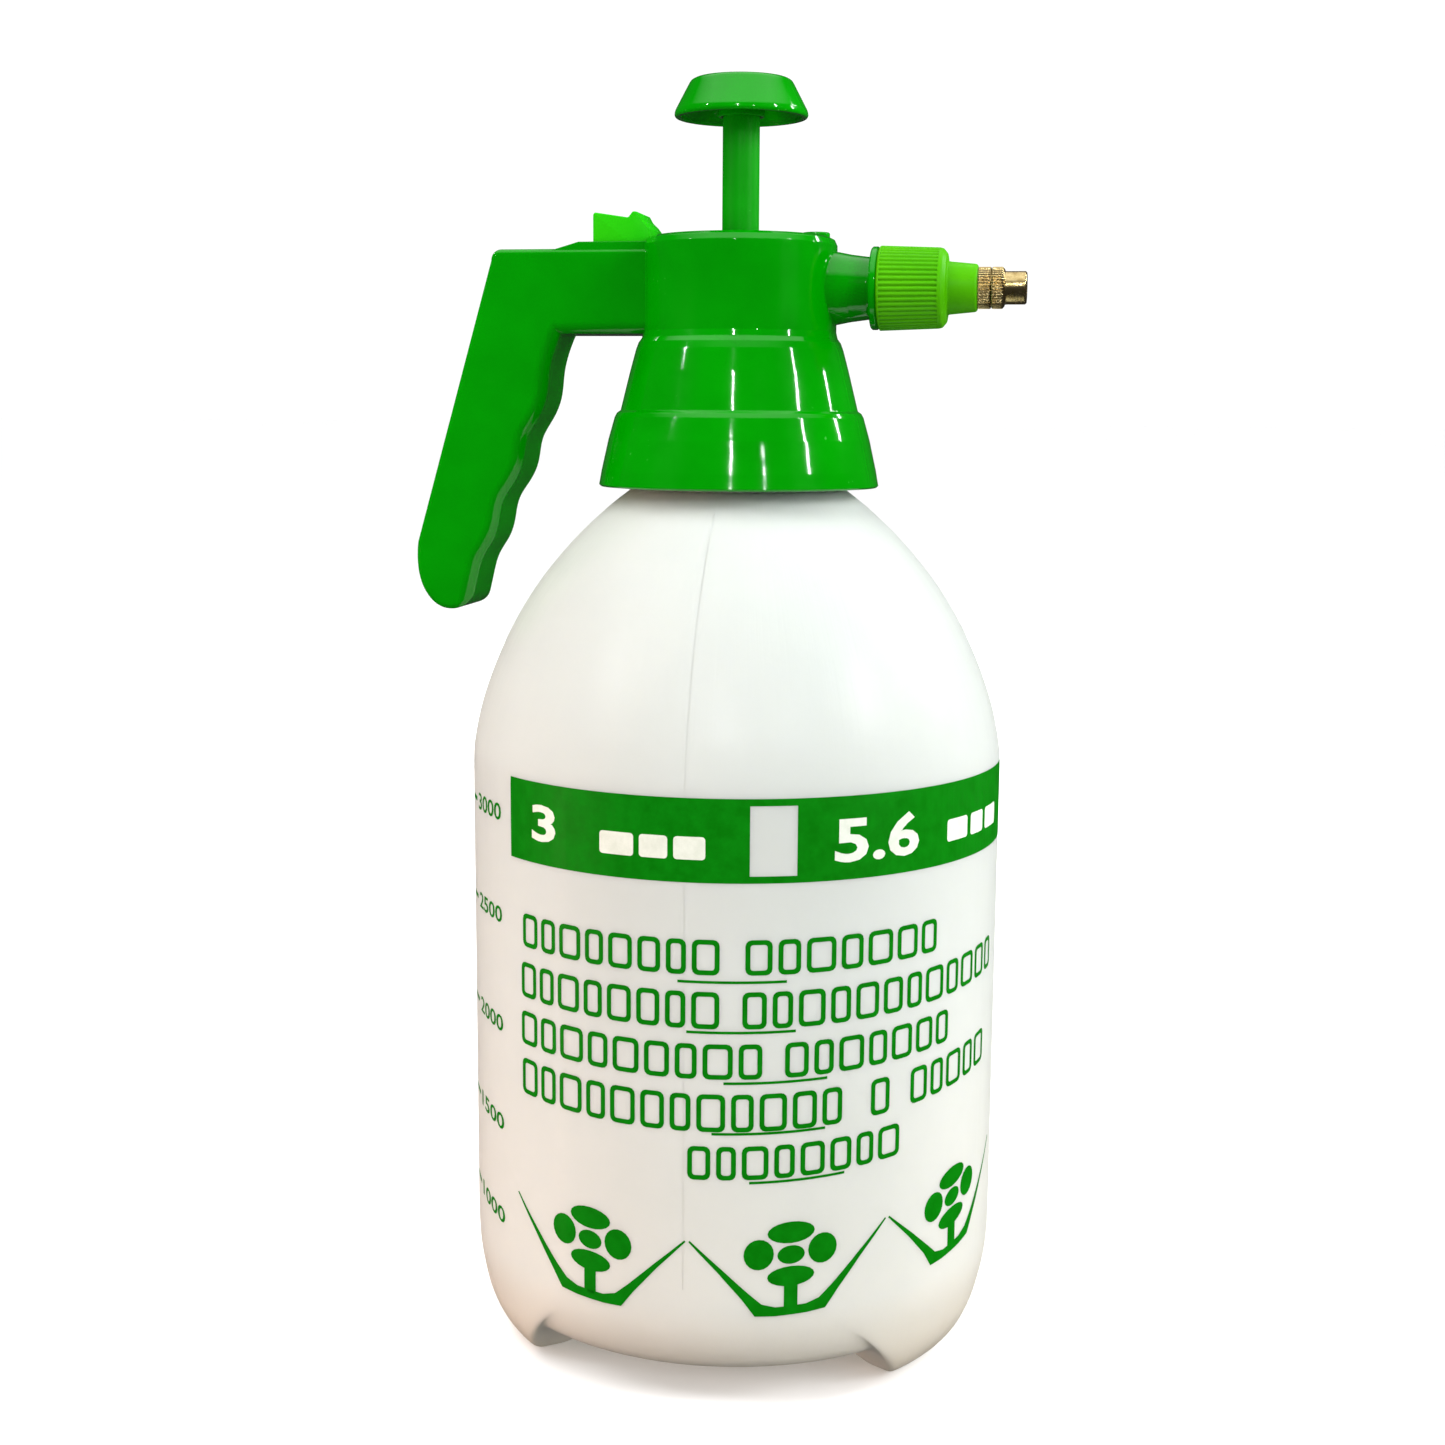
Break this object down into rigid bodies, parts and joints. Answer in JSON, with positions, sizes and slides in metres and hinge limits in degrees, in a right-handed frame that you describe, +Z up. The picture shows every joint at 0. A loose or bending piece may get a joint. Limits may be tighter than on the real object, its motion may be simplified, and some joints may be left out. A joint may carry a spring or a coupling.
{
  "type": "hand pump sprayer",
  "caption": "Hand-pumped pressure sprayer: translucent round bottle, screw-on head with pump knob, pistol handle, thumb button and adjustable brass nozzle.",
  "frame": {"origin": "in the middle of the footprint of the whole sprayer (bottle, handle and nozzle), on the plane that its three feet stand on", "axes": "+Z up along the bottle's axis, +X towards the nozzle, -X towards the handle"},
  "size_m": [0.1668, 0.147, 0.3458],
  "materials": {
    "bottle_plastic": "translucent milky polyethylene",
    "head_green": "gloss green polypropylene",
    "button_green": "satin yellow-green polypropylene",
    "barrel_plastic": "natural polypropylene",
    "tube_plastic": "natural flexible tube",
    "rubber": "matt",
    "brass": "turned",
    "steel": "bright"
  },
  "bodies": {
    "bottle": {"bottle": "bottle_plastic"},
    "gasket": {"neck_gasket": "rubber"},
    "head": {"head_housing": "head_green", "handle_back_strip": "head_green", "pump_barrel": "barrel_plastic", "barrel_seal": "rubber", "foot_valve_cage": "barrel_plastic", "rod_guide": "head_green", "rod_wiper": "rubber", "valve_body": "barrel_plastic", "valve_cap": "brass", "valve_seal": "rubber", "valve_spring": "steel", "button_pin": "steel", "dip_tube": "tube_plastic", "dip_tube_grommet": "rubber", "dip_strainer": "barrel_plastic", "delivery_hose": "tube_plastic", "nozzle_filter": "barrel_plastic", "release_spring": "steel", "release_bush": "head_green"},
    "pump": {"pump_rod": "head_green", "pump_knob": "head_green", "piston_head": "barrel_plastic", "piston_seal": "rubber", "piston_nut": "steel"},
    "foot_valve": {"foot_valve_disc": "rubber"},
    "button": {"thumb_button": "button_green"},
    "stem": {"valve_stem": "brass"},
    "washer": {"nozzle_washer": "rubber"},
    "nut": {"nozzle_nut": "button_green", "brass_base": "brass", "swirl_core": "barrel_plastic"},
    "tip_ring": {"tip_seal": "rubber"},
    "tip": {"brass_tip": "brass"},
    "release": {"release_knob": "head_green", "release_seal": "rubber"}
  },
  "joints": [
    {"name": "head_rise", "type": "slide", "parent": "bottle", "child": "gasket", "axis": [0, 0, 1], "range_m": [0, 0.0138]},
    {"name": "head_unscrew", "type": "hinge", "parent": "gasket", "child": "head", "pos_m": [0.00619, 0, 0.259], "axis": [0, 0, 1], "range_deg": [0, 900]},
    {"name": "pump_stroke", "type": "slide", "parent": "head", "child": "pump", "axis": [0, 0, 1], "range_m": [-0.028, 0.06]},
    {"name": "foot_valve_open", "type": "slide", "parent": "head", "child": "foot_valve", "axis": [0, 0, -1], "range_m": [0, 0.0014], "stiffness_N_per_m": 5, "springref_m": -0.003},
    {"name": "button_press", "type": "hinge", "parent": "head", "child": "button", "pos_m": [-0.01761, 0, 0.2991], "axis": [0, -1, 0], "range_deg": [0, 8.1], "stiffness_Nm_per_rad": 0.04, "springref_deg": -11.46},
    {"name": "valve_open", "type": "slide", "parent": "head", "child": "stem", "axis": [0, 0, -1], "range_m": [0, 0.00148], "deforming": ["valve_spring"]},
    {"name": "nut_travel", "type": "slide", "parent": "head", "child": "washer", "axis": [1, 0, 0], "range_m": [0, 0.006]},
    {"name": "nut_unscrew", "type": "hinge", "parent": "washer", "child": "nut", "pos_m": [0.05769, 0, 0.2906], "axis": [1, 0, 0], "range_deg": [0, 1084]},
    {"name": "tip_travel", "type": "slide", "parent": "nut", "child": "tip_ring", "axis": [1, 0, 0], "range_m": [0, 0.0012]},
    {"name": "tip_adjust", "type": "hinge", "parent": "tip_ring", "child": "tip", "pos_m": [0.07819, 0, 0.2906], "axis": [1, 0, 0], "range_deg": [0, 543]},
    {"name": "release_pull", "type": "slide", "parent": "head", "child": "release", "axis": [0, 0, 1], "range_m": [0, 0.0025], "stiffness_N_per_m": 20, "springref_m": -0.005, "deforming": ["release_spring"]}
  ],
  "couplings": [
    {"joint": "head_rise", "follows": "head_unscrew", "m_per_rad": 0.00087535},
    {"joint": "button_press", "follows": "valve_open", "rad_per_m": 94.34},
    {"joint": "nut_unscrew", "follows": "nut_travel", "rad_per_m": 3141.6},
    {"joint": "tip_adjust", "follows": "tip_travel", "rad_per_m": 7854}
  ]
}
